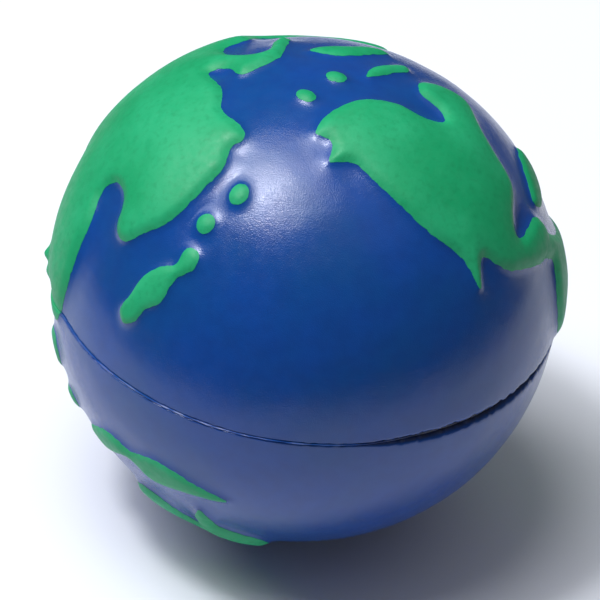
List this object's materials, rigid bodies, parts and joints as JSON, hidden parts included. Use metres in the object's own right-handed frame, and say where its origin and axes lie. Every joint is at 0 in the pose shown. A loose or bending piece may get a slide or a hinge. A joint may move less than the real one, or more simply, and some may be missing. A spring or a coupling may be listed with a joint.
{
  "type": "stress ball",
  "caption": "Soft foam globe ball that is squeezed in one hand: blue skin, raised green continents and a fine moulding line round the equator.",
  "frame": {"origin": "centre of the ball", "axes": "+Z through the globe's north pole, square to the parting line; -Y towards the middle of the Pacific"},
  "size_m": [0.0709, 0.07, 0.0704],
  "materials": {
    "foam": "open soft polyurethane foam",
    "blue_skin": "satin flexible lacquer",
    "green_land": "matt flexible paint"
  },
  "bodies": {
    "root": {"foam_core": "foam", "land_africa_north": "green_land", "land_africa_south": "green_land", "land_antarctica": "green_land", "land_australia": "green_land", "land_borneo": "green_land", "land_caribbean": "green_land", "land_ellesmere": "green_land", "land_eurasia_north": "green_land", "land_eurasia_south": "green_land", "land_greenland": "green_land", "land_japan": "green_land", "land_madagascar": "green_land", "land_new_guinea": "green_land", "land_north_america": "green_land", "land_north_kuril": "green_land", "land_polar_islet": "green_land", "land_pole_islet": "green_land", "land_south_america_north": "green_land", "land_south_america_south": "green_land", "land_south_kuril": "green_land", "land_timor": "green_land", "seam_flash": "blue_skin", "skin_north": "blue_skin", "skin_south": "blue_skin"}
  },
  "joints": []
}
